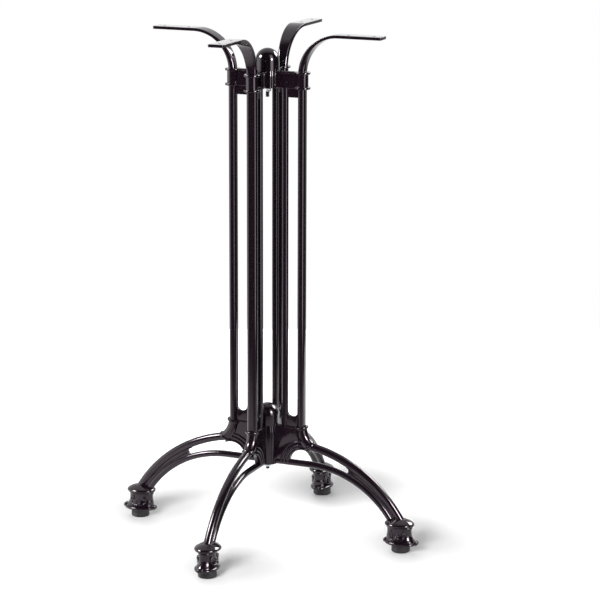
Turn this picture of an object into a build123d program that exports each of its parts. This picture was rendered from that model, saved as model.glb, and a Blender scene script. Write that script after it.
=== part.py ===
"""Cast base for a bar-height table: four mitred branches clamped by two dome nuts.

Millimetres, +Z up, origin on the floor under the centre of the column.
The right branch lies along +X; the back, left and front ones are turned copies.
"""
import os
from math import cos, radians, sin, sqrt

from build123d import *

os.makedirs("parts", exist_ok=True)

# Whole base
base_height = 1050.0
arm_reach = 248.0
foot_reach = 297.0
branch_sides = ("right", "back", "left", "front")
joint_overlap = 4.0

# Column of each branch
outer_post_offset = 76.0
outer_post_depth = 15.5
outer_post_width = 22.0
outer_post_roundness = 0.94
inner_post_offset = 39.0
inner_post_radius = 6.6
web_thickness = 7.0
slot_bottom_web = 21.0
slot_top_web = 17.5
slot_relief = 0.5

# Hubs
core_radius = 22.0
panel_thickness = 9.6
sleeve_radius = 12.0
sleeve_ring_radius = 16.3
elbow_ring_radius = 14.8
ring_height = 5.0
ring_chamfer = 1.6
bead_height = 4.0
bead_relief = 1.8
top_hub_height = 35.0
lower_hub_bottom = 154.0
lower_hub_height = 84.0
spigot_radius = 14.0
spigot_height = 5.0
spigot_clearance = 0.3

# Arch in the lower hub
arch_radius = 30.0
arch_offset = 80.0
arch_rib_width = 3.8
arch_rib_pitch = 6.6
arch_rib_count = 3
arch_rib_relief = 2.3

# Leg strands
elbow_reach = 19.0
elbow_drop = 39.0
upper_strand_radius = 8.4
lower_strand_radius = 6.7
strand_start_slope = 9.0
upper_strand_entry = 0.5
lower_strand_entry = -22.0
lower_strand_rise = 6.2
lower_strand_straight = 94.0
leg_slot_end = 180.0
leg_slot_round = 5.0
leg_bead_width = 3.2
leg_bead_relief = 1.4

# Arm
arm_rise = 78.0
arm_bend_radius = 81.0
arm_bend_steps = 6
arm_width = 33.0
arm_thickness = 6.0
arm_edge_break = 1.2
arm_bend_relief = 0.1
arm_corner_radius = 4.0
screw_hole_radius = 3.25
screw_inset = 20.0
inner_screw_inset = 17.0

# Foot
foot_bottom = 16.0
flange_length = 69.0
flange_width = 47.0
flange_thickness = 6.5
horn_reach = 37.7
horn_radius = 5.0
horn_width = 15.0
flange_edge_share = 0.42
neck_length = 51.0
neck_width = 31.0
neck_flare = 4.6
collar_offset = -3.2
collar_length = 62.0
collar_width = 53.0
collar_height = 54.0
collar_thickness = 8.0
collar_round = 2.4
collar_crown = 7.0
crown_inset = 16.0
step_ring_height = 4.0
step_ring_relief = 2.4
step_ring_chamfer = 0.6
scroll_radius = 5.0
scroll_eye_radius = 2.3
scroll_spread = 26.0
scroll_rise = 3.0
scroll_root = 9.0
scroll_depth = 9.2
scroll_eye_depth = 10.2

# Glide
glide_radius = 19.8
glide_lip = 0.8
glide_edge_radius = 3.0
pin_radius = 4.0
pin_clearance = 0.2
pin_depth_in_foot = 26.0
pin_depth_in_glide = 10.0
bore_relief = 2.0

# Clamp hardware
stud_radius = 4.0
stud_clearance = 0.5
thread_clearance = 0.05
stud_depth_in_dome = 22.0
top_stud_tail = 11.0
lower_stud_tail = 5.5
dome_radius = 24.0
dome_height = 44.5
washer_radius = 12.0
washer_thickness = 1.6
nut_across_flats = 13.0
nut_thickness = 6.5
nut_chamfer = 0.6
stud_chamfer = 0.8
dome_edge = 0.8

# Derived levels and points
top_hub_top = base_height - arm_rise
top_hub_bottom = top_hub_top - top_hub_height
lower_hub_top = lower_hub_bottom + lower_hub_height
slot_bottom = lower_hub_top + slot_bottom_web
slot_top = top_hub_bottom - slot_top_web
collar_top = collar_height + collar_thickness
neck_middle = (foot_bottom + flange_thickness + collar_height) / 2
elbow_end = (outer_post_offset + elbow_reach, lower_hub_top - elbow_drop)
lower_strand_level = lower_hub_bottom + lower_strand_rise
upper_entry_point = (foot_reach + upper_strand_entry, collar_top)
lower_entry_point = (foot_reach + lower_strand_entry, collar_top)
strand_tangent = (cos(radians(strand_start_slope)), -sin(radians(strand_start_slope)))
arch_level = lower_strand_level
neck_reach = foot_reach + collar_offset
arm_level = base_height - arm_thickness
arm_bend_centre = (
    outer_post_offset + arm_bend_radius,
    arm_level + arm_thickness / 2 - arm_bend_radius - arm_bend_relief,
)
outer_screw_offset = arm_reach - screw_inset
inner_screw_offset = arm_bend_centre[0] + inner_screw_inset
outer_post_corner = outer_post_roundness * outer_post_depth / 2
branch_angle = 360.0 / len(branch_sides)

# Flat end of the arm, with its two screw holes
with BuildPart() as arm_plate:
    with BuildSketch(Plane.XY.offset(arm_level)) as plate_outline:
        with Locations(((arm_bend_centre[0] + arm_reach) / 2, 0)):
            Rectangle(arm_reach - arm_bend_centre[0], arm_width)
        fillet(plate_outline.vertices().group_by(Axis.X)[-1], arm_corner_radius)
    extrude(amount=arm_thickness)
    rim = arm_plate.faces().filter_by(Axis.Z).edges().filter_by_position(
        Axis.X, arm_bend_centre[0] + arm_edge_break, arm_reach + arm_edge_break
    )
    chamfer(rim, arm_edge_break)
    with Locations((inner_screw_offset, 0, base_height), (outer_screw_offset, 0, base_height)):
        Hole(screw_hole_radius)

# Foot: oval lathe-like body with flange, waisted neck, step ring, collar and crown
flange_top = foot_bottom + flange_thickness
neck_span = collar_height - step_ring_height - flange_top
flange_size = (flange_length / 2, flange_width / 2)
neck_size = (neck_length / 2, neck_width / 2)
collar_size = (collar_length / 2, collar_width / 2)
flange_edge = flange_edge_share * flange_thickness
step_ring_bottom = flange_top + neck_span + step_ring_chamfer
foot_profile = (
    (foot_bottom, flange_size, -flange_edge),
    (foot_bottom + flange_edge, flange_size, 0.0),
    (flange_top - flange_edge, flange_size, 0.0),
    (flange_top, flange_size, -flange_edge),
    (flange_top + 0.12 * neck_span, neck_size, neck_flare),
    (flange_top + 0.28 * neck_span, neck_size, 0.43 * neck_flare),
    (flange_top + 0.50 * neck_span, neck_size, 0.09 * neck_flare),
    (flange_top + 0.75 * neck_span, neck_size, 0.0),
    (flange_top + neck_span, neck_size, 0.2 * neck_flare),
    (step_ring_bottom, neck_size, step_ring_relief),
    (collar_height - step_ring_chamfer, neck_size, step_ring_relief),
    (collar_height, neck_size, step_ring_relief / 2),
    (collar_height + 0.22 * collar_thickness, collar_size, -collar_round),
    (collar_height + 0.56 * collar_thickness, collar_size, 0.0),
    (collar_height + 0.80 * collar_thickness, collar_size, -0.25 * collar_round),
    (collar_top, collar_size, -collar_round),
    (collar_top + 0.55 * collar_crown, collar_size, -crown_inset / 2),
    (collar_top + collar_crown, collar_size, -crown_inset),
)
with BuildPart() as foot:
    for level, size, growth in foot_profile:
        shift = collar_offset if level > flange_top else 0.0
        with BuildSketch(Plane.XY.offset(level)):
            with Locations((foot_reach + shift, 0)):
                Ellipse(size[0] + growth, size[1] + growth)
    loft(ruled=True)
    horn_offset = horn_reach - horn_radius
    for side in (-1, 1):
        with Locations(Plane((foot_reach + side * horn_offset, 0, foot_bottom + horn_radius), z_dir=(0, 1, 0))):
            Cylinder(horn_radius, horn_width)
    for side in (-1, 1):
        scroll_plane = Plane(
            (neck_reach, side * scroll_root, neck_middle),
            x_dir=(-side, 0, 0),
            z_dir=(0, side, 0),
        )
        for radius, depth in ((scroll_radius, scroll_depth), (scroll_eye_radius, scroll_eye_depth)):
            with BuildSketch(scroll_plane):
                with Locations((-scroll_spread / 2, scroll_rise), (scroll_spread / 2, scroll_rise)):
                    Circle(radius)
            extrude(amount=depth)

# Bead rings that are set on the sleeve and on the elbow
bead_rings = []
for ring_radius in (sleeve_ring_radius, elbow_ring_radius):
    with BuildPart() as bead_ring:
        with BuildSketch(Plane.XZ):
            with BuildLine():
                Polyline(
                    (sleeve_radius / 2, -ring_height / 2),
                    (ring_radius - ring_chamfer, -ring_height / 2),
                    (ring_radius, ring_chamfer - ring_height / 2),
                    (ring_radius, ring_height / 2 - ring_chamfer),
                    (ring_radius - ring_chamfer, ring_height / 2),
                    (sleeve_radius / 2, ring_height / 2),
                    close=True,
                )
            make_face()
        revolve(axis=Axis.Z)
    bead_rings.append(bead_ring.part)

with BuildPart() as leg_right:
    # Outer post up to the bend of the arm, and inner post between the hubs
    post_bottom = lower_hub_top - joint_overlap
    with BuildSketch(Plane.XY.offset(post_bottom)):
        with Locations((outer_post_offset, 0)):
            RectangleRounded(outer_post_depth, outer_post_width, outer_post_corner)
    extrude(amount=arm_bend_centre[1] - post_bottom)
    with BuildSketch(Plane.XY.offset(post_bottom)):
        with Locations((inner_post_offset, 0)):
            Circle(inner_post_radius)
    extrude(amount=top_hub_bottom + joint_overlap - post_bottom)

    # Webs that close the slot between the posts, round below and square above
    slot_inner = inner_post_offset + inner_post_radius
    slot_outer = outer_post_offset - outer_post_depth / 2
    slot_round = (slot_outer - slot_inner) / 2 + slot_relief
    web_middle = (inner_post_offset + outer_post_offset) / 2
    web_span = outer_post_offset - inner_post_offset
    with BuildSketch(Plane.XZ):
        with Locations((web_middle, (post_bottom + slot_bottom + slot_round) / 2)):
            Rectangle(web_span, slot_bottom + slot_round - post_bottom)
        with Locations(((slot_inner + slot_outer) / 2, slot_bottom + slot_round)):
            Circle(slot_round, mode=Mode.SUBTRACT)
        with Locations((web_middle, (slot_top + top_hub_bottom + joint_overlap) / 2)):
            Rectangle(web_span, top_hub_bottom + joint_overlap - slot_top)
    extrude(amount=web_thickness / 2, both=True)

    # Top hub: core, panel and sleeve
    with BuildSketch(Plane.XY.offset(top_hub_bottom)):
        Circle(core_radius)
        with Locations((outer_post_offset / 2, 0)):
            Rectangle(outer_post_offset, panel_thickness)
        with Locations((outer_post_offset, 0)):
            Circle(sleeve_radius)
    extrude(amount=top_hub_height)

    # Lower hub: core, and a panel with an arch below it
    with BuildSketch(Plane.XY.offset(lower_hub_bottom)):
        Circle(core_radius)
    extrude(amount=lower_hub_height)
    with BuildSketch(Plane.XZ):
        with BuildLine():
            Polyline(
                (0, arch_level),
                (0, lower_hub_top),
                (outer_post_offset, lower_hub_top),
                elbow_end,
                (elbow_end[0], arch_level),
                close=True,
            )
        make_face()
        with Locations((arch_offset, arch_level)):
            Circle(arch_radius, mode=Mode.SUBTRACT)
        with Locations((arch_offset + arch_radius, arch_level)):
            Rectangle(2 * arch_radius, 2 * arch_radius, mode=Mode.SUBTRACT)
    extrude(amount=panel_thickness / 2, both=True)

    # Locating spigots on top of both cores
    for level in (top_hub_top, lower_hub_top):
        with BuildSketch(Plane.XY.offset(level)):
            Circle(spigot_radius)
        extrude(amount=spigot_height)

    # Elbow under the outer post
    with BuildLine(Plane.XZ) as elbow_path:
        TangentArc((outer_post_offset, lower_hub_top), elbow_end, tangent=(0, -1))
    with BuildSketch(Plane(elbow_path.line @ 0, z_dir=elbow_path.line % 0)):
        Circle(sleeve_radius)
    sweep(path=elbow_path.line)

    # Two strands of the leg
    with BuildLine(Plane.XZ) as upper_path:
        upper_arc = TangentArc(elbow_end, upper_entry_point, tangent=strand_tangent)
    with BuildSketch(Plane(upper_path.line @ 0, z_dir=upper_path.line % 0)):
        Circle(upper_strand_radius)
    sweep(path=upper_path.line)
    with BuildLine(Plane.XZ) as lower_path:
        Line((core_radius - joint_overlap, lower_strand_level), (lower_strand_straight, lower_strand_level))
        lower_arc = TangentArc(
            (lower_strand_straight, lower_strand_level), lower_entry_point, tangent=(1, 0)
        )
    with BuildSketch(Plane(lower_path.line @ 0, z_dir=lower_path.line % 0)):
        Circle(lower_strand_radius)
    sweep(path=lower_path.line)

    # Web between the strands, from the rounded slot end down to the foot
    upper_level = upper_arc.arc_center.Z + sqrt(upper_arc.radius**2 - (leg_slot_end - upper_arc.arc_center.X) ** 2)
    lower_level = lower_arc.arc_center.Z + sqrt(lower_arc.radius**2 - (leg_slot_end - lower_arc.arc_center.X) ** 2)
    slot_tip = (leg_slot_end, (upper_level + lower_level) / 2)
    with BuildSketch(Plane.XZ):
        with BuildLine():
            TangentArc(elbow_end, upper_entry_point, tangent=strand_tangent)
            Line(upper_entry_point, lower_entry_point)
            TangentArc((lower_strand_straight, lower_strand_level), lower_entry_point, tangent=(1, 0))
            Line((lower_strand_straight, lower_strand_level), elbow_end)
        make_face()
        with Locations((leg_slot_end / 2, slot_tip[1])):
            Rectangle(leg_slot_end - 2 * leg_slot_round, base_height / 2, mode=Mode.SUBTRACT)
        with Locations((leg_slot_end - leg_slot_round, slot_tip[1] + leg_slot_round / 5)):
            Circle(leg_slot_round * 1.3, mode=Mode.SUBTRACT)
    extrude(amount=web_thickness / 2, both=True)

    # Bead along the middle of that web, on both faces
    bead_points = (
        (leg_slot_end + leg_slot_round, slot_tip[1] - leg_slot_round * 0.6),
        ((upper_arc @ 0.8 + lower_arc @ 0.75).X / 2, (upper_arc @ 0.8 + lower_arc @ 0.75).Z / 2),
        ((upper_entry_point[0] + lower_entry_point[0]) / 2, collar_top),
    )
    with BuildSketch(Plane.XZ):
        with BuildLine():
            ThreePointArc(*bead_points)
        trace(line_width=leg_bead_width)
    extrude(amount=web_thickness / 2 + leg_bead_relief, both=True)

    # Bead rings round the sleeve and at both ends of the elbow
    ring_planes = (
        Plane((outer_post_offset, 0, top_hub_top - ring_height / 2)),
        Plane((outer_post_offset, 0, top_hub_bottom + ring_height / 2)),
        Plane(elbow_path.line @ 0.05, z_dir=elbow_path.line % 0.25),
        Plane(elbow_path.line @ 1, z_dir=elbow_path.line % 0.62),
    )
    for index, ring_plane in enumerate(ring_planes):
        add(bead_rings[index // 2].moved(ring_plane.location))

    # Bead mouldings along the edges of the hub panels
    bead_levels = (
        top_hub_top - ring_height / 2,
        top_hub_bottom + ring_height / 2,
        lower_hub_top - ring_height / 2,
    )
    for level in bead_levels:
        with Locations(((core_radius + outer_post_offset) / 2, 0, level)):
            Box(outer_post_offset - core_radius + joint_overlap, panel_thickness + 2 * bead_relief, bead_height)

    # Concentric ribs round the arch, on both faces
    with BuildSketch(Plane.XZ):
        for index in reversed(range(arch_rib_count)):
            rib_inner = arch_radius + index * arch_rib_pitch
            with Locations((arch_offset, arch_level)):
                Circle(rib_inner + arch_rib_width)
                Circle(rib_inner, mode=Mode.SUBTRACT)
        with Locations((arch_offset, arch_level - arch_offset)):
            Rectangle(4 * arch_offset, 2 * arch_offset, mode=Mode.SUBTRACT)
        with Locations((elbow_end[0] - joint_overlap + arch_offset, arch_level)):
            Rectangle(2 * arch_offset, 4 * arch_offset, mode=Mode.SUBTRACT)
    extrude(amount=panel_thickness / 2 + arch_rib_relief, both=True)

    # Bend of the arm, from the oval post to the flat end
    for step in range(arm_bend_steps + 1):
        angle = radians(90.0 * step / arm_bend_steps)
        fade = cos(min(1.35 * angle, radians(90.0))) ** 2
        depth = arm_thickness + (outer_post_depth - arm_thickness) * fade
        width = outer_post_width + (arm_width - outer_post_width) * (1.0 - cos(angle)) ** 0.75
        corner = arm_edge_break + (outer_post_corner - arm_edge_break) * fade
        bend_point = (
            arm_bend_centre[0] - arm_bend_radius * cos(angle),
            0,
            arm_bend_centre[1] + arm_bend_radius * sin(angle),
        )
        with BuildSketch(Plane(bend_point, x_dir=(0, 1, 0), z_dir=(sin(angle), 0, cos(angle)))):
            RectangleRounded(width, depth, corner)
    loft()

    # Flat end and foot
    add(arm_plate.part)
    add(foot.part)

    # Mitre faces to the two neighbours, stud bore and pin bore
    half_angle = radians(branch_angle / 2)
    for side in (-1, 1):
        split(bisect_by=Plane((0, 0, 0), z_dir=(sin(half_angle), side * cos(half_angle), 0)), keep=Keep.TOP)
    Cylinder(
        stud_radius + stud_clearance,
        base_height,
        align=(Align.CENTER, Align.CENTER, Align.MIN),
        mode=Mode.SUBTRACT,
    )
    with Locations((foot_reach, 0, foot_bottom)):
        Cylinder(
            pin_radius + pin_clearance,
            pin_depth_in_foot,
            align=(Align.CENTER, Align.CENTER, Align.MIN),
            mode=Mode.SUBTRACT,
        )

for index, side_name in enumerate(branch_sides):
    with BuildPart() as leg:
        add(leg_right.part, rotation=(0, 0, branch_angle * index))
    leg.part.label = f"leg_{side_name}"
    export_step(leg.part, f"parts/leg_{side_name}.step")

# Dome nut: cylinder with a round cap, a recess over the spigots and a blind stud bore
bore_radius = stud_radius + thread_clearance
recess_radius = spigot_radius + spigot_clearance
recess_depth = spigot_height + spigot_clearance
dome_shoulder = dome_height - dome_radius
dome_bore_top = spigot_height + stud_depth_in_dome + bore_relief
with BuildPart() as dome_nut:
    with BuildSketch(Plane.XZ):
        with BuildLine():
            Polyline(
                (0, dome_height),
                (0, dome_bore_top),
                (bore_radius, dome_bore_top),
                (bore_radius, recess_depth),
                (recess_radius, recess_depth),
                (recess_radius, 0),
                (dome_radius - dome_edge, 0),
                (dome_radius, dome_edge),
                (dome_radius, dome_shoulder),
            )
            RadiusArc((dome_radius, dome_shoulder), (0, dome_height), -dome_radius)
        make_face()
    revolve(axis=Axis.Z)

# Hub hardware, hung on the levels of each hub
hubs = (
    ("top", top_hub_bottom, top_hub_top, top_stud_tail),
    ("lower", lower_hub_bottom, lower_hub_top, lower_stud_tail),
)
for hub_name, hub_bottom, hub_top, stud_tail in hubs:
    with BuildPart() as dome:
        add(dome_nut.part.moved(Location((0, 0, hub_top))))
    dome.part.label = f"{hub_name}_dome_nut"
    export_step(dome.part, f"parts/{hub_name}_dome_nut.step")

    with BuildPart() as washer:
        with BuildSketch(Plane.XY.offset(hub_bottom - washer_thickness)):
            Circle(washer_radius)
            Circle(stud_radius + stud_clearance, mode=Mode.SUBTRACT)
        extrude(amount=washer_thickness)
    washer.part.label = f"{hub_name}_washer"
    export_step(washer.part, f"parts/{hub_name}_washer.step")

    nut_bottom = hub_bottom - washer_thickness - nut_thickness
    with BuildPart() as nut:
        with BuildSketch(Plane.XY.offset(nut_bottom)):
            RegularPolygon(nut_across_flats / 2, 6, major_radius=False)
        extrude(amount=nut_thickness)
        chamfer(nut.faces().filter_by(Axis.Z).edges(), nut_chamfer)
        with Locations((0, 0, nut_bottom + nut_thickness)):
            Hole(bore_radius)
    nut.part.label = f"{hub_name}_nut"
    export_step(nut.part, f"parts/{hub_name}_nut.step")

    stud_bottom = nut_bottom - stud_tail
    with BuildPart() as stud:
        with BuildSketch(Plane.XY.offset(stud_bottom)):
            Circle(stud_radius)
        extrude(amount=hub_top + spigot_height + stud_depth_in_dome - stud_bottom)
        chamfer(stud.edges().filter_by(GeomType.CIRCLE), stud_chamfer)
    stud.part.label = f"{hub_name}_stud"
    export_step(stud.part, f"parts/{hub_name}_stud.step")

# Glides under the feet, each on a threaded pin
for index, side_name in enumerate(branch_sides):
    turn = radians(branch_angle * index)
    foot_centre = (foot_reach * cos(turn), foot_reach * sin(turn))
    with BuildPart() as glide:
        with BuildSketch(Plane((*foot_centre, 0), x_dir=(1, 0, 0), z_dir=(0, -1, 0))):
            with BuildLine():
                Polyline(
                    (0, 0),
                    (glide_radius - glide_lip - glide_edge_radius, 0),
                    (glide_radius - glide_lip, glide_edge_radius),
                    (glide_radius - glide_lip, foot_bottom - 3 * glide_lip),
                    (glide_radius, foot_bottom - 2 * glide_lip),
                    (glide_radius, foot_bottom),
                    (0, foot_bottom),
                    close=True,
                )
            make_face()
        revolve(axis=Axis((*foot_centre, 0), (0, 0, 1)))
        with Locations((*foot_centre, foot_bottom)):
            Hole(pin_radius + thread_clearance, depth=pin_depth_in_glide)
    glide.part.label = f"glide_{side_name}"
    export_step(glide.part, f"parts/glide_{side_name}.step")

    with BuildPart() as pin:
        with BuildSketch(Plane.XY.offset(foot_bottom - pin_depth_in_glide)):
            with Locations(foot_centre):
                Circle(pin_radius)
        extrude(amount=pin_depth_in_glide + pin_depth_in_foot - bore_relief)
        chamfer(pin.edges().filter_by(GeomType.CIRCLE).group_by(Axis.Z)[-1], stud_chamfer)
    pin.part.label = f"glide_pin_{side_name}"
    export_step(pin.part, f"parts/glide_pin_{side_name}.step")
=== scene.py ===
"""Dress of a cast table leg: branches, dome nuts, studs, nuts, washers and glides on a pale studio floor."""

from math import cos, pi, radians, sin

import bpy
import numpy as np
from bpy.props import FloatProperty, FloatVectorProperty, IntProperty, PointerProperty
from mathutils import Matrix, Vector


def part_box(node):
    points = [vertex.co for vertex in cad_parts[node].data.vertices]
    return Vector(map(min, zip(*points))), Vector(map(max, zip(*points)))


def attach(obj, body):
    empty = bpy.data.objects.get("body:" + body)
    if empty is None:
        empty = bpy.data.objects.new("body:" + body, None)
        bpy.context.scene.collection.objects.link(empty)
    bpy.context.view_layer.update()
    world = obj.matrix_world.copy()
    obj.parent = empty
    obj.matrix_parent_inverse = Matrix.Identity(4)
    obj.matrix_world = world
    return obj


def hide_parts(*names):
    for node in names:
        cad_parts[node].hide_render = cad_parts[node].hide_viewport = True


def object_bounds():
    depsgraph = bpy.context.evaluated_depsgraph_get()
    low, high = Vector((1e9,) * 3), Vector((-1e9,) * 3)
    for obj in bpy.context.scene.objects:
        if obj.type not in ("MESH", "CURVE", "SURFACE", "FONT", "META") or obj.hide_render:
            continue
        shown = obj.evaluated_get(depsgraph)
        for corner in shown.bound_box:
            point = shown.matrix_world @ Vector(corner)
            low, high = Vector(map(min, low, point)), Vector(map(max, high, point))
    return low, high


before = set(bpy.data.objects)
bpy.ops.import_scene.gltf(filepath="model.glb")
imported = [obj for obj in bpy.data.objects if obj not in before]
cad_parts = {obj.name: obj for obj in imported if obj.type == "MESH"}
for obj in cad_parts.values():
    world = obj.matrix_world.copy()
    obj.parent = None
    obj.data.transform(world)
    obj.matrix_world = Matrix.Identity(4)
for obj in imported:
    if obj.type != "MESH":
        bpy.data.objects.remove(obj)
CAD_LOW, CAD_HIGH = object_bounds()

bl_info = {
    "name": "Cast table leg",
    "version": (1, 0, 0),
    "blender": (4, 5, 0),
    "location": "3D View > Sidebar > Table leg",
    "description": "Builds the cast branches, clamp hardware, glides and studio of a bar-height table leg",
    "category": "Object",
}

SIDES = ("right", "back", "left", "front")
HUBS = ("top", "lower")
BOTH = (-1.0, 1.0)
WHITE = (1.0, 1.0, 1.0, 1.0)
OVERLAP = 0.004  # how far joined shells run into each other
SUNK = 0.002  # how far spigots and mouldings start inside a core
GLIDE_BORE, GROOVE_PITCH = 0.00405, 0.0031  # radius of the pin's bore in a glide, distance of its grooves
STUD_CONE = 0.0008  # height of the cone at each end of a stud
AXIS_GAP = 0.0005  # radius at which turned profiles stop before the axis
CREASE, THREAD_CREASE, NUT_CREASE = 32.0, 50.0, 25.0  # degrees between faces from which an edge is sharp
SEAM_START, SEAM_TURN, SEAM_DEPTH = radians(41.0), radians(4.0), 0.0007  # how mitred corners fall back
CORE_EDGE, SPIGOT_EDGE, LEG_WEB_EDGE = 0.0005, 0.0004, 0.0006  # roundings of small edges
STRAND_ENDS = (0.0005, -0.022)  # ends of the upper and lower strand from the middle of the foot
BITE_RADIUS = 0.0065  # end of the slot between the strands
NECK_LIP, STEP_RELIEF, COLLAR_ROOT = 0.001, 0.0014, 0.0012  # how far these stand out from the neck
STEM_INSET = 0.0009  # middle of a lyre stem from the rim of its volute
LEAVES = ((-1.0, 0.0036), (-0.5, 0.005), (0.0, 0.0058), (0.5, 0.005), (1.0, 0.0036))  # lean, half height
LEAST_FACES = 1000  # a casting with fewer faces has failed


def length(name, description, default):
    """A size in metres that a user may change."""
    return FloatProperty(
        name=name, description=description, default=default, min=0.0, unit="LENGTH", precision=5
    )


def turning(name, description, degrees):
    """An angle, given in degrees, that a user may change."""
    return FloatProperty(name=name, description=description, default=radians(degrees), subtype="ANGLE")


def colour(name, description, default):
    """A linear colour that a user may change."""
    return FloatVectorProperty(
        name=name, description=description, default=default, size=3, min=0.0, max=1.0, subtype="COLOR"
    )


class BranchSizes(bpy.types.PropertyGroup):
    """Sizes of one cast branch; levels come from the parts of model.glb."""

    post_offset: length("Outer post offset", "Axis of the outer post from the column centre", 0.076)
    post_depth: length("Outer post depth", "Radial depth of the outer post", 0.015)
    post_width: length("Outer post width", "Width of the outer post across the branch", 0.022)
    post_corner: length("Outer post corner", "Corner radius of the section of the outer post", 0.007285)
    inner_offset: length("Inner post offset", "Axis of the inner post from the column centre", 0.039)
    inner_radius: length("Inner post radius", "Radius of the inner post", 0.0066)
    web_thickness: length("Web thickness", "Thickness of the webs between posts and strands", 0.007)
    slot_bottom_web: length("Lower web", "Height of the web under the post slot", 0.021)
    slot_top_web: length("Upper web", "Height of the web over the post slot", 0.0175)
    core_radius: length("Core radius", "Radius of the mitred hub cores", 0.022)
    bore_radius: length("Stud bore", "Radius of the stud bore in the cores", 0.0045)
    spigot_radius: length("Spigot radius", "Radius of the locating spigots", 0.014)
    spigot_height: length("Spigot height", "Height of the locating spigots", 0.005)
    panel_thickness: length("Panel thickness", "Thickness of the hub panels", 0.0096)
    sleeve_radius: length("Sleeve radius", "Radius of the sleeves and of the elbow", 0.012)
    sleeve_ring: length("Sleeve ring radius", "Outer radius of the bead rings of the top hub", 0.0163)
    elbow_ring: length("Elbow ring radius", "Outer radius of the bead rings of the elbow", 0.0148)
    ring_height: length("Ring height", "Thickness of the bead rings", 0.005)
    bead_height: length("Bead height", "Height of the bead mouldings on the hub panels", 0.004)
    bead_relief: length("Bead relief", "How far the bead mouldings stand out", 0.0018)
    arch_offset: length("Arch offset", "Centre of the arch from the column centre", 0.080)
    arch_radius: length("Arch radius", "Radius of the arch under the lower hub", 0.030)
    rib_width: length("Rib width", "Width of each arch rib", 0.0046)
    rib_pitch: length("Rib pitch", "Distance between the arch ribs", 0.0076)
    rib_relief: length("Rib relief", "How far the arch ribs stand out", 0.0027)
    rib_count: IntProperty(name="Arch ribs", description="Number of ribs round the arch", default=3, min=1)
    elbow_reach: length("Elbow reach", "How far the elbow runs outwards", 0.019)
    elbow_drop: length("Elbow drop", "How far the elbow runs down", 0.039)
    upper_radius: length("Upper strand radius", "Radius of the upper strand of the leg", 0.0084)
    lower_radius: length("Lower strand radius", "Radius of the lower strand of the leg", 0.0067)
    lower_rise: length("Lower strand rise", "Lower strand over the bottom of the hub", 0.0062)
    lower_straight: length("Lower strand straight", "End of the level run of the lower strand", 0.094)
    start_slope: turning("Strand slope", "Slope of the upper strand at the elbow", 9.0)
    leg_slot_end: length("Leg slot end", "End of the slot between the strands", 0.180)
    leg_bead_width: length("Leg bead width", "Width of the bead on the leg web", 0.0032)
    leg_bead_relief: length("Leg bead relief", "How far that bead stands out", 0.0014)
    arm_reach: length("Arm reach", "Tip of the arm from the column centre", 0.248)
    arm_bend: length("Arm bend", "Radius of the bend of the arm", 0.081)
    arm_width: length("Arm width", "Width of the strap of the arm", 0.033)
    arm_thickness: length("Arm thickness", "Thickness of the strap of the arm", 0.006)
    arm_corner: length("Arm corner", "Corner radius at the tip of the arm", 0.004)
    arm_edge: length("Arm edge", "Rounding of the edges of the arm", 0.0007)
    screw_radius: length("Screw hole radius", "Radius of the screw holes", 0.00325)
    screw_inset: length("Screw inset", "Outer screw hole from the tip of the arm", 0.020)
    inner_screw: length("Inner screw inset", "Inner screw hole from the end of the bend", 0.017)
    cast_edge: length("Cast edge", "Rounding of the edges of webs and panels", 0.0011)


class FootSizes(bpy.types.PropertyGroup):
    """Sizes of the ornamental foot of a branch."""

    flange_length: length("Flange length", "Radial length of the foot flange", 0.069)
    flange_width: length("Flange width", "Width of the foot flange", 0.047)
    flange_thickness: length("Flange thickness", "Thickness of the foot flange", 0.0065)
    horn_reach: length("Horn reach", "Tip of the curled ends from the middle of the foot", 0.0377)
    horn_radius: length("Horn radius", "Radius of the curled ends of the flange", 0.005)
    horn_width: length("Horn width", "Width of the curled ends of the flange", 0.015)
    neck_length: length("Neck length", "Radial length of the waisted neck", 0.051)
    neck_width: length("Neck width", "Width of the waisted neck", 0.031)
    neck_flare: length("Neck flare", "Swell of the neck into the flange", 0.0062)
    step_ring: length("Step ring", "Height of the step ring under the collar", 0.004)
    collar_offset: length("Collar offset", "How far the collar is set back to the column", 0.0032)
    collar_length: length("Collar length", "Radial length of the collar", 0.062)
    collar_width: length("Collar width", "Width of the collar", 0.053)
    collar_bottom: length("Collar level", "Level of the underside of the collar", 0.054)
    collar_thickness: length("Collar thickness", "Thickness of the collar", 0.008)
    crown: length("Crown", "Rise of the crown on the collar", 0.007)
    crown_inset: length("Crown inset", "How far the crown draws in from the rim", 0.016)
    scroll_radius: length("Scroll radius", "Radius of the volutes on the neck", 0.005)
    scroll_spread: length("Scroll spread", "Distance between the two volutes", 0.026)
    scroll_face: length("Scroll face", "Face of the volutes from the plane of the branch", 0.0148)
    scroll_level: length("Scroll level", "Level of the volutes over the floor", 0.0412)
    pin_bore: length("Pin bore", "Radius of the bore for the glide pin", 0.0042)
    pin_depth: length("Pin bore depth", "Depth of the bore for the glide pin", 0.026)


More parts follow.
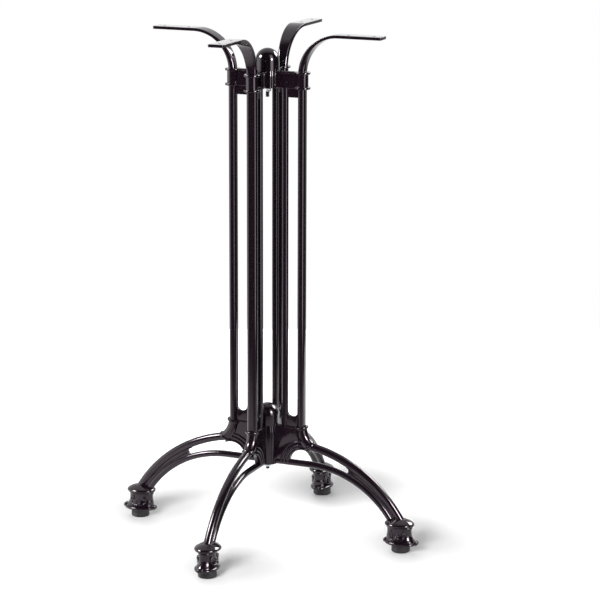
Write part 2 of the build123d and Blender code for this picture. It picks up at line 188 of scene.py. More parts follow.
class HardwareSizes(bpy.types.PropertyGroup):
    """Sizes of dome nuts, studs, nuts, washers and glides."""

    thread_pitch: length("Thread pitch", "Pitch of the stud thread", 0.00125)
    thread_depth: length("Thread depth", "Depth of the stud thread", 0.00065)
    thread_run: length("Thread run", "Length of the thread at each end of a stud", 0.028)
    across_flats: length("Across flats", "Width of the hexagon nuts", 0.013)
    recess_radius: length("Recess radius", "Radius of the recess in a dome nut", 0.0143)
    recess_depth: length("Recess depth", "Depth of the recess in a dome nut", 0.0053)
    dome_bore: length("Dome bore", "Radius of the bores in dome nuts and nuts", 0.00405)
    dome_bore_top: length("Dome bore depth", "Top of the blind bore over the hub", 0.029)
    glide_lip: length("Glide lip", "How far the lip of a glide stands out", 0.0008)
    glide_edge: length("Glide edge", "Rounding of the lower edge of a glide", 0.003)
    glide_groove: length("Glide groove", "Depth of the grooves round a glide", 0.0004)


class FinishLooks(bpy.types.PropertyGroup):
    """Colours and gloss of the finishes."""

    paint: colour("Paint", "Black paint of the castings", (0.0062, 0.0028, 0.0056))
    paint_gloss: colour("Paint gloss", "Tint of the gloss of the paint", (1.0, 0.9, 0.98))
    paint_rough: FloatProperty(
        name="Paint roughness",
        description="Mean roughness of the paint",
        default=0.08,
        min=0.0,
        max=1.0,
        subtype="FACTOR",
    )
    steel: colour("Blackened steel", "Threaded studs", (0.02, 0.019, 0.02))
    zinc: colour("Zinc", "Nuts, washers and pins", (0.72, 0.73, 0.75))
    glide: colour("Glide", "Moulded glides", (0.009, 0.0075, 0.0088))
    floor: colour("Floor", "Pale studio floor", (0.86, 0.86, 0.86))


class StudioSettings(bpy.types.PropertyGroup):
    """Camera and floor of the studio."""

    camera_turn: turning("Camera turn", "Turn of the camera round the column", 23.77)
    camera_distance: length("Camera distance", "Level distance of the camera from the column", 4.8033)
    camera_height: length("Camera height", "Height of the camera over the floor", 1.6069)
    camera_pitch: turning("Camera pitch", "How far the camera looks down", 12.986)
    camera_yaw: turning("Camera yaw", "How far the camera looks past the column", -0.79)
    camera_roll: turning("Camera roll", "How far the camera leans sideways", 0.16)
    lens: FloatProperty(
        name="Lens", description="Focal length in millimetres", default=144.59, min=1.0, unit="CAMERA"
    )
    floor_front: length("Floor front", "Front edge of the floor from the column, towards the camera", 1.6)
    floor_back: length("Floor back", "Back edge of the floor from the column", 1.8)
    floor_half: length("Floor half width", "Half of the width of the floor", 1.3)


# Surfaces


def turns(count):
    """Angles round a full circle."""
    return np.linspace(0.0, 2.0 * pi, count, endpoint=False)


def spots(x, y, z):
    """Points from three arrays of coordinates that are stretched to one shape."""
    return np.stack(np.broadcast_arrays(x, y, z), -1)


def grid_quads(rows, columns, close_rows=False):
    """Corner numbers of a grid that is closed round its columns and, if asked, round its rows."""
    row = np.arange(rows if close_rows else rows - 1)[:, None]
    column = np.arange(columns)
    beside = (column + 1) % columns
    here, below = row * columns, (row + 1) % rows * columns
    return np.stack((here + column, here + beside, below + beside, below + column), -1).reshape(-1, 4)


def outward(points, faces):
    """Faces turned so that the shell's signed volume, the sum of its corner tetrahedra, is positive."""
    volume = sum(
        float(np.einsum("ij,ij->", points[f[:, 0]], np.cross(points[f[:, i]], points[f[:, i + 1]])))
        for f in faces
        for i in range(1, f.shape[1] - 1)
    )
    return faces if volume > 0 else [f[:, ::-1] for f in faces]


def shell(rings, cap="point"):
    """Closed shell over rings of points, quads between rings; ends close to a point, a face or a loop."""
    rows, columns = rings.shape[:2]
    points = rings.reshape(-1, 3)
    first = np.arange(columns)
    last = first + (rows - 1) * columns
    if cap == "loop":
        return points, outward(points, [grid_quads(rows, columns, True)])
    faces = [grid_quads(rows, columns)]
    if cap == "flat":
        faces += [first[None, ::-1], last[None, :]]
    else:
        ends = np.stack((rings[0].mean(0), rings[-1].mean(0)))
        start = np.full(columns, len(points))
        points = np.concatenate((points, ends))
        faces.append(np.stack((start, np.roll(first, -1), first), -1))
        faces.append(np.stack((start + 1, last, np.roll(last, -1)), -1))
    return points, outward(points, faces)


def superellipse(half_a, half_b, power, count=40):
    """Sections |a/A|^p + |b/B|^p = 1 at each station, as stations by points by (a, b)."""
    turn = turns(count)
    half_a, half_b, power = np.broadcast_arrays(np.atleast_1d(half_a), half_b, power)
    bend = 2.0 / power[:, None]
    a = half_a[:, None] * np.sign(np.cos(turn)) * np.abs(np.cos(turn)) ** bend
    b = half_b[:, None] * np.sign(np.sin(turn)) * np.abs(np.sin(turn)) ** bend
    return np.stack((a, b), -1)


def rounded_rectangle(half_a, half_b, corner, count=14):
    """Rectangles of half sides A and B with round corners, as stations by points by (a, b)."""
    half_a, half_b, corner = (v[:, None] for v in np.broadcast_arrays(half_a, half_b, corner))
    turn = (np.linspace(0.0, pi / 2, count) + np.arange(4)[:, None] * pi / 2).ravel()
    side_a, side_b = np.repeat((1, -1, -1, 1), count), np.repeat((1, 1, -1, -1), count)
    a = side_a * (half_a - corner) + corner * np.cos(turn)
    b = side_b * (half_b - corner) + corner * np.sin(turn)
    return np.stack((a, b), -1)


def straight(start, end, count=2):
    """Path rows (x, z, heading) along a straight line in the plane of the branch."""
    rows = np.linspace(start, end, count)
    heading = np.arctan2(end[1] - start[1], end[0] - start[0])
    return np.column_stack((rows, np.full(count, heading)))


def tangent_arc(start, end, heading, count=32):
    """Path rows along the circle that leaves start at a heading and passes through end."""
    start, end = np.array(start), np.array(end)
    ahead = np.array((cos(heading), sin(heading)))
    left = np.array((-ahead[1], ahead[0]))
    chord = end - start
    radius = chord @ chord / (2.0 * chord @ left)
    turn = heading + 2.0 * np.arctan2(chord @ left, chord @ ahead) * np.linspace(0.0, 1.0, count)
    centre = start + radius * left
    return np.column_stack((centre[0] + radius * np.sin(turn), centre[1] - radius * np.cos(turn), turn))


def circle_arc(centre, radius, start, end, count=32):
    """Path rows along a circle between two angles; the heading is at right angles to the spoke."""
    angle = np.linspace(start, end, count)
    side = np.sign(end - start)
    return np.column_stack(
        (centre[0] + radius * np.cos(angle), centre[1] + radius * np.sin(angle), angle + side * pi / 2)
    )


def path_through(curve):
    """Path rows through a row of points (x, z), with the heading along their differences."""
    slope = np.gradient(curve, axis=0)
    return np.column_stack((curve, np.unwrap(np.arctan2(slope[:, 1], slope[:, 0]))))


def bent_line(start, pull, end, count):
    """Points (1 - t)^2 start + 2 t (1 - t) pull + t^2 end, for t from 0 to 1."""
    t = np.linspace(0.0, 1.0, count)[:, None]
    return (1 - t) ** 2 * np.array(start) + 2 * t * (1 - t) * np.array(pull) + t**2 * np.array(end)


def sweep(path, section, side=0.0):
    """Section (a, b) carried along a path: a across the heading in the plane of the branch, b along Y."""
    x, z, heading = path.T[:, :, None]
    a, b = section[..., 0], section[..., 1]
    return shell(spots(x - a * np.sin(heading), side + b, z + a * np.cos(heading)))


def rod(path, radius):
    """Round rod along a path."""
    return sweep(path, superellipse(radius, radius, 2.0))


def beads(path, width, relief, half):
    """Oval beads along a path on both faces of a plate, half sunk in the faces at that half thickness."""
    section = superellipse(width / 2, relief, 2.0, 24)
    return [sweep(path, section, side * half) for side in BOTH]


def torus(centre, axis, radius, tube, around=64, across=24):
    """Ring: a small superellipse of power 3 turned round an axis that lies in the plane of the branch."""
    u = turns(around)[:, None, None]
    section = superellipse(tube, tube, 3.0, across)[0]
    axis = np.array((axis[0], 0.0, axis[1])) / np.hypot(*axis)
    spoke = np.cos(u) * np.array((axis[2], 0.0, -axis[0])) + np.sin(u) * np.array((0.0, 1.0, 0.0))
    middle = np.array((centre[0], 0.0, centre[1]))
    return shell(middle + (radius + section[:, :1]) * spoke + section[:, 1:] * axis, "loop")


def lathe(profile, centre=(0.0, 0.0, 0.0), around=96, cap="point"):
    """Profile of (radius, height) rows turned round a vertical axis through a centre."""
    turn = turns(around)
    radius, level = np.array(profile).T[:, :, None]
    x, y = centre[0] + radius * np.cos(turn), centre[1] + radius * np.sin(turn)
    return shell(spots(x, y, centre[2] + level), cap)


def rounded_levels(low, high, edge, count=4):
    """Rows (inset, level) of a plate's wall: a quarter circle at both edges."""
    angle = np.linspace(pi / 2, 0.0, count)
    inset = edge * (1.0 - np.cos(angle))
    lift = edge * (1.0 - np.sin(angle))
    return np.concatenate((np.column_stack((inset, low + lift)), np.column_stack((inset, high - lift))[::-1]))


def plate(outline, low, high, edge, upright=True):
    """Plate over a closed outline: towards both faces the outline shrinks along its inward normals."""
    outline = np.array(outline)
    following = np.roll(outline, -1, 0)
    ahead = following - outline
    ahead /= np.linalg.norm(ahead, axis=1)[:, None]
    along = ahead + np.roll(ahead, 1, 0)
    along /= np.linalg.norm(along, axis=1)[:, None]
    area = float(np.sum(outline[:, 0] * following[:, 1] - following[:, 0] * outline[:, 1]))
    inward = np.column_stack((-along[:, 1], along[:, 0])) * np.sign(area)
    inset, level = rounded_levels(low, high, edge).T[:, :, None]
    a, b = outline[:, 0] + inward[:, 0] * inset, outline[:, 1] + inward[:, 1] * inset
    return shell(spots(a, level, b) if upright else spots(a, b, level), "flat")


def polygon(*corners, spacing=0.004):
    """Closed outline through corners, with points along each side."""
    rows = []
    for start, end in zip(corners, corners[1:] + corners[:1]):
        count = max(2, int(np.hypot(end[0] - start[0], end[1] - start[1]) / spacing))
        rows.append(np.linspace(start, end, count, endpoint=False))
    return np.concatenate(rows)


def ellipsoid(centre, half, tilt=0.0, around=20, rows=11):
    """Ellipsoid x = A sin v cos u, y = B sin v sin u, z = C cos v, leaned in the plane of the branch."""
    v = np.linspace(0.05, pi - 0.05, rows)[:, None]
    u = turns(around)
    x, z = half[0] * np.sin(v) * np.cos(u), half[2] * np.cos(v)
    y = half[1] * np.sin(v) * np.sin(u)
    return shell(spots(x * cos(tilt) + z * sin(tilt), y, z * cos(tilt) - x * sin(tilt)) + np.array(centre))


def wedge(inner, outer, low, high, edge):
    """Quarter of a bored cylinder between two mitre faces; its outer corners fall back to leave the seam."""
    half = np.linspace(-pi / 4, pi / 4, 41)
    fall = np.clip((np.abs(half) - SEAM_START) / SEAM_TURN, 0.0, 1.0) ** 2
    radius = outer - SEAM_DEPTH * fall
    outer_side = np.column_stack((radius * np.cos(half), radius * np.sin(half)))
    inner_side = inner * np.column_stack((np.cos(half[::-2]), np.sin(half[::-2])))
    return plate(np.concatenate((outer_side, inner_side)), low, high, edge, upright=False)


# Cast branch


def arm_stations(size, level):
    """Post and arm as one sweep: path rows, half depth, half width and corner of the section at each station.

    The section is a rounded rectangle. It goes from the oval post to the flat strap on the bend. At the tip
    the width follows a quarter circle of the corner radius and the depth one of the edge radius.
    """
    middle = level["top"] - size.arm_thickness / 2 - 0.0001
    centre = (size.post_offset + size.arm_bend, middle - size.arm_bend)
    post = straight((size.post_offset, level["post"]), (size.post_offset, centre[1]), 3)
    bend = circle_arc(centre, size.arm_bend, pi, pi / 2, 41)[1:]
    tip = size.arm_reach - size.arm_corner
    run = straight((centre[0], middle), (tip, middle), 8)[1:]
    end = tip + size.arm_corner * np.sin(np.linspace(0.0, pi / 2, 12)[1:])
    end = np.column_stack((end, np.full(len(end), middle), np.zeros(len(end))))
    path = np.concatenate((post, bend, run, end))
    turn = np.concatenate(
        (np.zeros(len(post)), np.linspace(0.0, pi / 2, 41)[1:], np.full(len(run) + len(end), pi / 2))
    )
    fade = np.cos(np.minimum(1.35 * turn, pi / 2)) ** 2
    depth = size.arm_thickness + (size.post_depth - size.arm_thickness) * fade
    width = size.post_width + (size.arm_width - size.post_width) * np.maximum(0.0, 1.0 - np.cos(turn)) ** 0.75
    past = np.clip(path[:, 0] - tip, 0.0, size.arm_corner)
    width = width - 2.0 * (size.arm_corner - np.sqrt(size.arm_corner**2 - past**2))
    blunt = np.clip(path[:, 0] - (size.arm_reach - size.arm_edge), 0.0, size.arm_edge)
    depth = depth - 2.0 * (size.arm_edge - np.sqrt(size.arm_edge**2 - blunt**2))
    corner = size.arm_edge + (size.post_corner - size.arm_edge) * fade
    return path, depth / 2, width / 2, corner


def post_shells(size, level):
    """Outer post with its arm, inner post, and the two webs that close the slot between the posts."""
    path, half_depth, half_width, corner = arm_stations(size, level)
    near, far, post = size.inner_offset, size.post_offset, level["post"]
    low, high = level["top_low"] - size.slot_top_web, level["top_low"] + OVERLAP
    slot = (near + size.inner_radius, far - size.post_depth / 2)
    dip_radius = (slot[1] - slot[0]) / 2 + 0.0005
    dip_level = level["lower_high"] + size.slot_bottom_web + dip_radius
    dip = circle_arc(((slot[0] + slot[1]) / 2, dip_level), dip_radius, 0.0, -pi, 25)[:, :2]
    lower = np.concatenate(([(near, dip_level), (near, post), (far, post), (far, dip_level)], dip))
    upper = polygon((near, low), (far, low), (far, high), (near, high))
    half = size.web_thickness / 2
    return [
        sweep(path, rounded_rectangle(half_depth, half_width, corner)),
        rod(straight((near, post), (near, high)), size.inner_radius),
        plate(lower, -half, half, size.cast_edge),
        plate(upper, -half, half, size.cast_edge),
    ]


def hub_shells(size, level, elbow):
    """Mitred cores with spigots, hub panels, sleeve, elbow, bead rings, mouldings and ribs of the arch."""
    shells = []
    bore, post = size.bore_radius, size.post_offset
    for hub in HUBS:
        low, high = level[f"{hub}_low"], level[f"{hub}_high"]
        shells.append(wedge(bore, size.core_radius, low, high, CORE_EDGE))
        shells.append(wedge(bore, size.spigot_radius, high - SUNK, high + size.spigot_height, SPIGOT_EDGE))
    half = size.panel_thickness / 2
    root = bore + 0.006
    low, high, shelf = level["top_low"], level["top_high"], level["lower_high"]
    panel = polygon((root, low), (post, low), (post, high), (root, high))
    sill = level["lower_low"] + size.lower_rise
    end = tuple(elbow[-1, :2])
    arch_centre = (size.arch_offset, sill)
    open_angle = np.arccos((end[0] - size.arch_offset) / size.arch_radius)
    arch = circle_arc(arch_centre, size.arch_radius, open_angle, pi, 40)[:, :2]
    arched = np.concatenate(([(root, sill), (root, shelf), (post, shelf), end], arch))
    shells += [plate(outline, -half, half, size.cast_edge) for outline in (panel, arched)]
    shells += [rod(path, size.sleeve_radius) for path in (straight((post, low), (post, high)), elbow)]
    tube = size.ring_height / 2
    sleeve_spread, elbow_spread = size.sleeve_ring - tube, size.elbow_ring - tube
    count = len(elbow)
    tilt_low, tilt_high = elbow[int(0.25 * count), 2], elbow[int(0.62 * count), 2]
    ring_places = (
        ((post, high - tube), (0.0, 1.0), sleeve_spread),
        ((post, low + tube), (0.0, 1.0), sleeve_spread),
        (elbow[int(0.05 * count), :2], (cos(tilt_low), sin(tilt_low)), elbow_spread),
        (end, (cos(tilt_high), sin(tilt_high)), elbow_spread),
    )
    shells += [torus(centre, axis, spread, tube) for centre, axis, spread in ring_places]
    for bead_level in (high - tube, low + tube, shelf - tube):
        path = straight((size.core_radius - SUNK, bead_level), (post, bead_level))
        shells += beads(path, size.bead_height, size.bead_relief, half)
    for index in range(size.rib_count):
        radius = size.arch_radius + size.rib_width / 2 + index * size.rib_pitch
        stop = np.arccos((end[0] - OVERLAP - size.arch_offset) / radius)
        shells += beads(circle_arc(arch_centre, radius, pi, stop, 48), size.rib_width, size.rib_relief, half)
    return shells


def leg_shells(size, foot, level, elbow, foot_reach):
    """Upper and lower strand, the web between them with its rounded slot end, and the bead along that web."""
    rows = 72
    sill = level["lower_low"] + size.lower_rise
    collar_top = foot.collar_bottom + foot.collar_thickness
    upper_end, lower_end = ((foot_reach + shift, collar_top) for shift in STRAND_ENDS)
    upper = tangent_arc(tuple(elbow[-1, :2]), upper_end, -size.start_slope, rows)
    lower = tangent_arc((size.lower_straight, sill), lower_end, 0.0, rows)
    level_run = straight((size.core_radius - OVERLAP, sill), (size.lower_straight, sill))[:-1]
    slot = size.leg_slot_end
    upper_web = upper[upper[:, 0] > slot, :2]
    lower_web = lower[lower[:, 0] > slot, :2]
    gap_level = ((upper_web[0] + lower_web[0]) / 2)[1]
    bite = circle_arc((slot - 0.005, gap_level + 0.001), BITE_RADIUS, -pi / 2, pi / 2, 17)[:, :2]
    web = np.concatenate((upper_web, lower_web[::-1], bite))
    half = size.web_thickness / 2
    middle = (upper[int(0.8 * rows), :2] + lower[int(0.75 * rows), :2]) / 2
    start = np.array((slot + 0.005, gap_level - 0.003))
    goal = np.array(((upper_end[0] + lower_end[0]) / 2, collar_top))
    curve = bent_line(start, 2.0 * middle - (start + goal) / 2, goal, 40)
    bead = superellipse(size.leg_bead_width / 2, half + size.leg_bead_relief, 2.6, 24)
    return [
        rod(upper, size.upper_radius),
        rod(np.concatenate((level_run, lower)), size.lower_radius),
        plate(web, -half, half, LEG_WEB_EDGE),
        sweep(path_through(curve), bead),
    ]


def neck_swell(foot, t):
    """Growth of the neck at the share t of its height: a power curve into the flange and a slight top lip."""
    return foot.neck_flare * (1.0 - t) ** 2.6 + NECK_LIP * t**6


def foot_profile(foot, floor_gap):
    """Rows (level, radial half length, half width, shift) of the foot's oval sections, from flange to crown.

    The edge of the flange is a half circle and the neck flares into it. A half round step ring runs under
    the collar. The collar swells as a quarter ellipse from that ring to its rim. From there the crown draws
    in by t while it rises by t to the power 0.55.
    """
    flange, neck, collar = (
        np.array(pair) / 2
        for pair in (
            (foot.flange_length, foot.flange_width),
            (foot.neck_length, foot.neck_width),
            (foot.collar_length, foot.collar_width),
        )
    )
    rows = []

    def band(level, half, shift):
        rows.append(np.column_stack((level, half, shift + 0.0 * level)))

    edge = foot.flange_thickness / 2
    turn = np.linspace(-pi / 2, pi / 2, 15)[:, None]
    band(floor_gap + edge * (1.0 + np.sin(turn)), flange + edge * (np.cos(turn) - 1.0), 0.0)
    flange_top = floor_gap + foot.flange_thickness
    neck_top = foot.collar_bottom - foot.step_ring
    t = np.linspace(0.05, 1.0, 26)[:, None]
    back = -foot.collar_offset
    set_back = back * np.minimum(1.0, 2.5 * t)
    band(flange_top + t * (neck_top - flange_top), neck + neck_swell(foot, t), set_back)
    turn = np.linspace(-1.4, pi / 2, 10)[:, None]
    step = foot.step_ring / 2
    band(neck_top + step * (1.0 + np.sin(turn)), neck + NECK_LIP + STEP_RELIEF * np.cos(turn), back)
    rim = foot.collar_bottom + 0.56 * foot.collar_thickness
    turn = np.linspace(0.0, pi / 2, 12)[:, None]
    root = neck + COLLAR_ROOT
    band(rim - (rim - foot.collar_bottom) * np.cos(turn), root + (collar - root) * np.sin(turn), back)
    t = np.linspace(0.02, 1.0, 22)[:, None] ** 1.6
    rise = foot.collar_bottom + foot.collar_thickness + foot.crown - rim
    band(rim + rise * t**0.55, collar - foot.crown_inset * t, back)
    return np.concatenate(rows)


def foot_shells(foot, foot_reach, floor_gap):
    """Oval foot body, curled flange ends, and the relief on both neck faces."""
    level, half_length, half_width, shift = foot_profile(foot, floor_gap).T[:, :, None]
    turn = turns(112)
    x = foot_reach + shift + half_length * np.cos(turn)
    shells = [shell(spots(x, half_width * np.sin(turn), level))]
    offset = foot.horn_reach - foot.horn_radius
    along = np.linspace(-0.97, 0.97, 19)[:, None]
    swell = foot.horn_radius * np.sqrt(1.0 - along**4)
    spin = turns(32)
    for side in BOTH:
        x = foot_reach + side * offset + swell * np.cos(spin)
        z = floor_gap + foot.horn_radius + swell * np.sin(spin)
        shells.append(shell(spots(x, along * foot.horn_width / 2, z)))
    for side in BOTH:
        shells += relief_shells(foot, foot_reach - foot.collar_offset, floor_gap, side)
    return shells


def relief_shells(foot, middle, floor_gap, side):
    """Lyre on a neck face: two stems that part at the foot of a fan of five leaves and end in volutes.

    The face lies at W sqrt(1 - (x / L)^2) from the plane of the branch; L and W are half sizes of the neck.
    """
    flange_top = floor_gap + foot.flange_thickness
    span = foot.collar_bottom - foot.step_ring - flange_top

    def face(x, z):
        grow = neck_swell(foot, np.clip((z - flange_top) / span, 0.0, 1.0))
        return (foot.neck_width / 2 + grow) * np.sqrt(1.0 - (x / (foot.neck_length / 2 + grow)) ** 2)

    shells = []
    base = flange_top + 0.2 * span
    for hand in BOTH:
        place = (hand * foot.scroll_spread / 2, foot.scroll_level)
        shells += volute_shells(foot, place, middle, side, hand)
        end = (place[0] + hand * (foot.scroll_radius - STEM_INSET), place[1])
        path = path_through(bent_line((hand * 0.001, base), (end[0], base - 0.002), end, 30))
        floor = face(path[:, 0], path[:, 1])[:, None]
        path[:, 0] += middle
        t = np.linspace(0.0, 1.0, 30)
        lift = floor + (foot.scroll_face - floor) * t[:, None] ** 3
        thick = 0.0016 - 0.0004 * t
        shells.append(sweep(path, superellipse(thick, 1.3 * thick, 2.0, 14), side * lift))
    for lean, tall in LEAVES:
        x, z = (tall + 0.001) * sin(lean), base + (tall + 0.001) * cos(lean)
        centre = (middle + x, side * (face(x, z) + 0.0003), z)
        shells.append(ellipsoid(centre, (0.0017 + 0.1 * tall, 0.0022, tall), lean))
    return shells


def volute_shells(foot, place, middle, side, hand):
    """Volute on a drum: a spiral r = R - (R - e) w that winds in from the stem, and a domed eye."""
    x, z = middle + place[0], place[1]
    radius, front = foot.scroll_radius, foot.scroll_face
    depth = front - np.array((0.0075, 0.0014, 0.0006, 0.0002))[:, None]
    wide = radius * np.array((1.0, 1.0, 0.93, 0.7))[:, None]
    spin = turns(32)
    drum = shell(spots(x + wide * np.cos(spin), side * depth, z + wide * np.sin(spin)))
    w = np.linspace(0.0, 1.0, 56)
    angle = (1.0 - hand) * pi / 2 + hand * 2.0 * pi * 1.6 * w
    reach = radius - STEM_INSET - (radius - 0.0021) * w
    path = path_through(np.column_stack((x + reach * np.cos(angle), z + reach * np.sin(angle))))
    thick = 0.0012 - 0.0003 * w
    spiral = sweep(path, superellipse(thick, 1.4 * thick, 2.0, 14), side * front)
    eye = ellipsoid((x, side * front, z), (0.0017, 0.0024, 0.0017), 0.0, 16, 9)
    return [drum, spiral, eye]


def bore_shells(size, foot, level, foot_reach, floor_gap):
    """Cylinders that are cut away: two screw holes in the arm and the pin bore in the foot."""
    places = (size.arm_reach - size.screw_inset, size.post_offset + size.arm_bend + size.inner_screw)
    low, high = level["top"] - 2.0 * size.arm_thickness, level["top"] + size.arm_thickness
    holes = [
        lathe([(size.screw_radius, low), (size.screw_radius, high)], (place, 0.0, 0.0), 32)
        for place in places
    ]
    pin = [(foot.pin_bore, floor_gap - OVERLAP), (foot.pin_bore, floor_gap + foot.pin_depth)]
    return holes + [lathe(pin, (foot_reach, 0.0, 0.0), 32)]


# Meshes


def mesh_of(name, points, faces, crease=None):
    """Smooth mesh from a shell's points and face lists, with sharp edges from a crease angle in degrees."""
    mesh = bpy.data.meshes.new(name)
    rows = [corner for group in faces for corner in group.tolist()]
    mesh.from_pydata(points.tolist(), [], rows)
    mesh.validate()
    mesh.shade_smooth()
    if crease:
        mesh.set_sharp_from_angle(angle=radians(crease))
    return mesh


def fused_mesh(name, joined, cut):
    """One closed mesh: the union of all joined shells, less the cut ones."""
    pieces = []
    for number, (points, faces) in enumerate(joined + cut):
        piece = bpy.data.objects.new(f"{name}_{number}", mesh_of(f"{name}_{number}", points, faces))
        bpy.context.scene.collection.objects.link(piece)
        pieces.append(piece)
    base = pieces[0]
    for number, piece in enumerate(pieces[1:], 1):
        step = base.modifiers.new(piece.name, "BOOLEAN")
        step.operation = "UNION" if number < len(joined) else "DIFFERENCE"
        step.solver = "MANIFOLD"
        step.object = piece
    graph = bpy.context.evaluated_depsgraph_get()
    mesh = bpy.data.meshes.new_from_object(base.evaluated_get(graph))
    mesh.name = name
    for piece in pieces:
        old = piece.data
        bpy.data.objects.remove(piece)
        bpy.data.meshes.remove(old)
    if len(mesh.polygons) < LEAST_FACES:
        raise RuntimeError(f"{name}: the union of its shells came out empty")
    mesh.materials.clear()
    mesh.shade_smooth()
    mesh.set_sharp_from_angle(angle=radians(CREASE))
    return mesh


def turned_mesh(mesh, name, quarters):
    """Copy of a mesh turned round the column by a number of right angles."""
    copy = mesh.copy()
    copy.name = name
    flat = np.empty(len(copy.vertices) * 3)
    copy.vertices.foreach_get("co", flat)
    points = flat.reshape(-1, 3)
    for _ in range(quarters):
        points = np.column_stack((-points[:, 1], points[:, 0], points[:, 2]))
    copy.vertices.foreach_set("co", points.ravel())
    copy.update()
    return copy


def dressed(mesh, material, node):
    """Object at the origin, named as its mesh, that stands for a node and rides on the one body."""
    piece = bpy.data.objects.new(mesh.name, mesh)
    bpy.context.scene.collection.objects.link(piece)
    mesh.materials.append(material)
    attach(piece, "root")
    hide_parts(node)


# Finishes


NOISE_RANGE = (0.3, 0.7)  # where nearly all values of a noise lie
BUMP_DETAIL = 2.0
MIX_A, MIX_B, MIX_RESULT = 6, 7, 2  # colour sockets of a Mix node


class Nodes:
    """Nodes of a material or a world round its shader; each term is a value or a socket to join."""

    def __init__(self, owner, shader="Principled BSDF"):
        owner.use_nodes = True
        self.tree = owner.node_tree
        self.shader = self.tree.nodes[shader]

    def feed(self, node, terms):
        """Give terms to a node's inputs, by number or by name with _ for each space."""
        for key, term in terms.items():
            socket = node.inputs[key.replace("_", " ") if isinstance(key, str) else key]
            if isinstance(term, bpy.types.NodeSocket):
                self.tree.links.new(term, socket)
            else:
                socket.default_value = term

    def shade(self, **terms):
        """Give terms to the shader."""
        self.feed(self.shader, terms)

    def add(self, kind, *terms, result=0, operation=None, **named):
        """Output of a new node of a kind."""
        node = self.tree.nodes.new(kind)
        if operation:
            node.operation = operation
        self.feed(node, dict(enumerate(terms)) | named)
        return node.outputs[result]

    def place(self, kind="Object"):
        """Coordinates of that kind; Object ones are in metres."""
        return self.add("ShaderNodeTexCoord", result=kind)

    def calc(self, operation, *terms):
        """Result of a Math node."""
        return self.add("ShaderNodeMath", *terms, operation=operation)

    def noise(self, place, scale, detail):
        """Noise of about 0 to 1."""
        return self.add("ShaderNodeTexNoise", Vector=place, Scale=scale, Detail=detail, result="Fac")

    def blend(self, value, low, high, start=0.0, end=1.0):
        """Value spread from start..end to low..high and held at the ends."""
        ends = {"From_Min": start, "From_Max": end, "To_Min": low, "To_Max": high}
        return self.add("ShaderNodeMapRange", Value=value, result="Result", **ends)

    def tint(self, value, dark, light):
        """Colour between a dark and a light one."""
        node = self.tree.nodes.new("ShaderNodeMix")
        node.data_type = "RGBA"
        self.feed(node, {"Factor": value, MIX_A: (*dark, 1.0), MIX_B: (*light, 1.0)})
        return node.outputs[MIX_RESULT]

    def toward(self, place, turn, rise=0.0):
        """How far a place or a ray lies in the direction of a turn and a rise, in radians."""
        way = direction(turn, rise)
        return self.add("ShaderNodeVectorMath", place, way, operation="DOT_PRODUCT", result="Value")

    def apart(self, place, spot, shift=(0.0, 0.0, 0.0)):
        """Distance from a spot of a place that is shifted back and mirrored to positive x and y."""
        moved = self.add("ShaderNodeVectorMath", place, shift, operation="SUBTRACT")
        mirrored = self.add("ShaderNodeVectorMath", moved, operation="ABSOLUTE")
        return self.add("ShaderNodeVectorMath", mirrored, spot, operation="DISTANCE", result="Value")

    def ray(self, kind):
        """Socket that is 1 for rays of that kind."""
        return self.add("ShaderNodeLightPath", result=f"Is {kind} Ray")

    def shown_rays(self):
        """Socket that is 1 for camera, glossy and transmission rays."""
        mirrored = self.calc("MAXIMUM", self.ray("Glossy"), self.ray("Transmission"))
        return self.calc("MAXIMUM", self.ray("Camera"), mirrored)


def direction(turn, rise):
    """Unit vector at a turn round the column, from the front, and a rise."""
    return (sin(turn) * cos(rise), -cos(turn) * cos(rise), sin(rise))


def mottled(name, base, shades, patches, rough, dull=None, bump=None, **terms):
    """Finish whose colour lies between two shades of a base colour, by the noise of its patches.

    The roughness follows the dull noise, or else the patches. Both are a scale and a detail. A bump, if any,
    is the scale of a finer noise, a strength and a distance.
    """
    material = bpy.data.materials.new(name)
    nodes = Nodes(material)
    place = nodes.place()
    patchy = nodes.noise(place, *patches)
    duller = nodes.noise(place, *dull) if dull else patchy
    dark, light = ([min(1.0, part * channel) for channel in base] for part in shades)
    nodes.shade(Base_Color=nodes.tint(patchy, dark, light), **terms)
    nodes.shade(Roughness=nodes.blend(duller, *rough, *NOISE_RANGE))
    if bump:
        scale, strength, distance = bump
        fine = {"Height": nodes.noise(place, scale, BUMP_DETAIL), "Strength": strength, "Distance": distance}
        nodes.shade(Normal=nodes.add("ShaderNodeBump", result="Normal", **fine))
    return material


def finish(name, looks):
    """The finish of that name, made once."""
    if name in bpy.data.materials:
        return bpy.data.materials[name]
    if name == "gloss_black_paint":  # orange peel of about 2 mm and patches of duller gloss
        rough = (0.85 * looks.paint_rough, 1.2 * looks.paint_rough)
        peel = (420.0, 0.06, 0.0006)
        gloss = {"IOR": 1.5, "Specular_Tint": (*looks.paint_gloss, 1.0)}
        return mottled(name, looks.paint, (0.75, 1.3), (45.0, 4.0), rough, (160.0, 2.0), peel, **gloss)
    if name == "blackened_steel":  # dark metal with a fine mottled grain
        return mottled(name, looks.steel, (0.6, 1.6), (700.0, 4.0), (0.3, 0.5), Metallic=0.6)
    if name == "bright_zinc":  # pale metal with faint bloom and a fine grain
        grain = (2200.0, 0.15, 0.0002)
        return mottled(name, looks.zinc, (0.82, 1.08), (260.0, 4.0), (0.22, 0.4), bump=grain, Metallic=1.0)
    if name == "moulded_black":  # matt plastic with a fine spark texture and slightly scuffed patches
        spark = (1800.0, 0.25, 0.0003)
        return mottled(name, looks.glide, (0.75, 1.6), (140.0, 5.0), (0.42, 0.6), bump=spark, IOR=1.46)
    raise ValueError(f"no finish is called {name}")


# Operators


